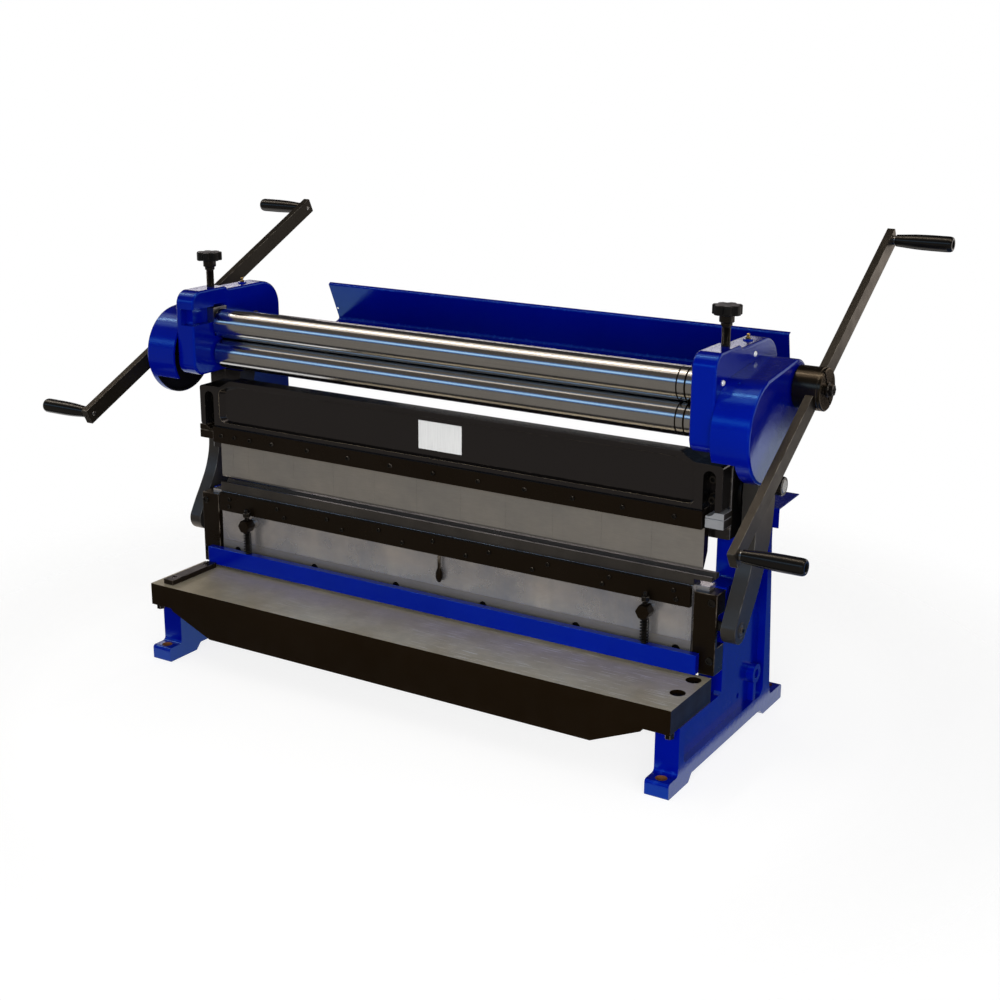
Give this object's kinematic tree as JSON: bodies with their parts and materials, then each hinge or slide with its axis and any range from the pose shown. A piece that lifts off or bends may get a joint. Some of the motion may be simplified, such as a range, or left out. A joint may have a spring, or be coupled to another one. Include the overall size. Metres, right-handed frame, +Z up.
{
  "type": "slip roll machine",
  "caption": "Bench sheet-metal machine with slip rolls turned by end cranks, a finger brake and a guillotine shear on cast side frames.",
  "frame": {"origin": "on the floor, midway between the four foot bolt holes", "axes": "+X along the rolls to the user's right, +Y from the front to the back, +Z up"},
  "size_m": [1.678, 0.7645, 0.9297],
  "materials": {
    "blue_paint": "gloss",
    "black_gloss_paint": "gloss",
    "blackened_steel": "satin",
    "table_casting": "painted sides, ground top",
    "ground_steel": "ground",
    "polished_roll_steel": "polished",
    "black_screws": "black oxide",
    "plain_steel": "machined",
    "brass": "turned",
    "label_aluminium": "satin, left blank",
    "crank_dark_steel": "satin",
    "black_phenolic": "gloss"
  },
  "bodies": {
    "stand": {"right_side_frame": "blue_paint", "left_side_frame": "blue_paint", "right_end_bracket": "black_gloss_paint", "left_end_bracket": "black_gloss_paint", "table": "table_casting", "table_screws": "black_screws", "squaring_fence": "blackened_steel", "lower_blade": "ground_steel", "upper_beam": "black_gloss_paint", "beam_bolts": "black_screws", "beam_blocks": "plain_steel", "finger_clamp_bar": "blackened_steel", "clamp_screws": "black_screws", "finger_punches": "ground_steel", "label_plate": "label_aluminium", "ram_guides": "blackened_steel", "guide_screws": "black_screws", "right_roll_housing": "blue_paint", "left_roll_housing": "blue_paint", "right_gear_cover": "blue_paint", "left_gear_cover": "blue_paint", "cover_screws": "plain_steel", "grease_nipples": "brass", "rear_chute": "blue_paint", "rear_shelf": "blue_paint", "tie_bars": "plain_steel", "shaft_bushes": "brass"},
    "ram": {"ram_plate": "ground_steel", "v_die": "ground_steel", "die_clamp_bar": "blackened_steel", "ram_screws": "black_screws", "upper_blade": "ground_steel", "spring_eyes": "blackened_steel", "centre_stud": "blackened_steel", "ram_pins": "plain_steel"},
    "hold_down": {"hold_down_bar": "blue_paint", "hold_down_rods": "plain_steel", "hold_down_springs": "plain_steel"},
    "right_link": {"right_link": "blackened_steel"},
    "left_link": {"left_link": "blackened_steel"},
    "eccentric": {"eccentric_shaft": "plain_steel", "shaft_collars": "blackened_steel"},
    "crank": {"crank_shaft": "plain_steel", "right_crank_hub": "crank_dark_steel", "left_crank_hub": "crank_dark_steel", "right_crank_bar": "crank_dark_steel", "left_crank_bar": "crank_dark_steel", "right_grip_pins": "plain_steel", "left_grip_pins": "plain_steel"},
    "right_upper_grip": {"right_upper_grip": "black_phenolic"},
    "right_lower_grip": {"right_lower_grip": "black_phenolic"},
    "left_upper_grip": {"left_upper_grip": "black_phenolic"},
    "left_lower_grip": {"left_lower_grip": "black_phenolic"},
    "lower_roll": {"lower_roll": "polished_roll_steel"},
    "upper_blocks": {"upper_roll_blocks": "plain_steel"},
    "upper_roll": {"upper_roll": "polished_roll_steel"},
    "rear_blocks": {"rear_roll_blocks": "plain_steel"},
    "rear_roll": {"rear_roll": "polished_roll_steel"},
    "right_knob": {"right_knob": "black_phenolic"},
    "left_knob": {"left_knob": "black_phenolic"}
  },
  "joints": [
    {"name": "ram_slide", "type": "slide", "parent": "stand", "child": "ram", "axis": [0, 0, 1], "range_m": [-0.02, 0.003], "deforming": ["hold_down_springs"]},
    {"name": "hold_down_slide", "type": "slide", "parent": "stand", "child": "hold_down", "axis": [0, 0, 1], "range_m": [-0.0055, 0.001]},
    {"name": "eccentric_turn", "type": "hinge", "parent": "stand", "child": "eccentric", "pos_m": [0, 0.04728, 0.48702], "axis": [1, 0, 0], "range_deg": [-6, 39]},
    {"name": "right_link_swing", "type": "hinge", "parent": "ram", "child": "right_link", "pos_m": [0.6255, -0.06, 0.259], "axis": [1, 0, 0], "range_deg": [-0.6, 2.8]},
    {"name": "left_link_swing", "type": "hinge", "parent": "ram", "child": "left_link", "pos_m": [-0.6255, -0.06, 0.259], "axis": [1, 0, 0], "range_deg": [-0.6, 2.8]},
    {"name": "crank_turn", "type": "hinge", "parent": "stand", "child": "crank", "pos_m": [0, 0.0589, 0.6869], "axis": [1, 0, 0], "continuous": true},
    {"name": "right_upper_grip_spin", "type": "hinge", "parent": "crank", "child": "right_upper_grip", "pos_m": [0.775, 0.40553, 0.90773], "axis": [1, 0, 0], "continuous": true},
    {"name": "right_lower_grip_spin", "type": "hinge", "parent": "crank", "child": "right_lower_grip", "pos_m": [0.775, -0.27255, 0.47574], "axis": [1, 0, 0], "continuous": true},
    {"name": "left_upper_grip_spin", "type": "hinge", "parent": "crank", "child": "left_upper_grip", "pos_m": [-0.79, 0.44516, 0.87471], "axis": [1, 0, 0], "continuous": true},
    {"name": "left_lower_grip_spin", "type": "hinge", "parent": "crank", "child": "left_lower_grip", "pos_m": [-0.79, -0.2779, 0.52314], "axis": [1, 0, 0], "continuous": true},
    {"name": "lower_roll_turn", "type": "hinge", "parent": "stand", "child": "lower_roll", "pos_m": [0, -0.052, 0.63], "axis": [1, 0, 0], "continuous": true},
    {"name": "upper_roll_lift", "type": "slide", "parent": "stand", "child": "upper_blocks", "axis": [0, 0, 1], "range_m": [0, 0.003]},
    {"name": "upper_roll_turn", "type": "hinge", "parent": "upper_blocks", "child": "upper_roll", "pos_m": [0, -0.052, 0.6925], "axis": [1, 0, 0], "continuous": true},
    {"name": "right_knob_turn", "type": "hinge", "parent": "upper_blocks", "child": "right_knob", "pos_m": [0.5815, -0.052, 0.78], "axis": [0, 0, 1], "range_deg": [0, 540]},
    {"name": "left_knob_turn", "type": "hinge", "parent": "upper_blocks", "child": "left_knob", "pos_m": [-0.5815, -0.052, 0.78], "axis": [0, 0, 1], "range_deg": [0, 540]},
    {"name": "rear_roll_lift", "type": "slide", "parent": "stand", "child": "rear_blocks", "axis": [0, 0, 1], "range_m": [0, 0.02]},
    {"name": "rear_roll_turn", "type": "hinge", "parent": "rear_blocks", "child": "rear_roll", "pos_m": [0, 0.038, 0.62], "axis": [1, 0, 0], "continuous": true}
  ],
  "couplings": [
    {"joint": "eccentric_turn", "follows": "ram_slide", "rad_per_m": -33.498},
    {"joint": "right_link_swing", "follows": "ram_slide", "rad_per_m": -2.193},
    {"joint": "left_link_swing", "follows": "ram_slide", "rad_per_m": -2.193},
    {"joint": "hold_down_slide", "follows": "ram_slide", "ratio": 0.27},
    {"joint": "lower_roll_turn", "follows": "crank_turn", "ratio": -0.5},
    {"joint": "upper_roll_turn", "follows": "crank_turn", "ratio": 0.5},
    {"joint": "right_knob_turn", "follows": "upper_roll_lift", "rad_per_m": 3141.6},
    {"joint": "left_knob_turn", "follows": "upper_roll_lift", "rad_per_m": 3141.6}
  ]
}
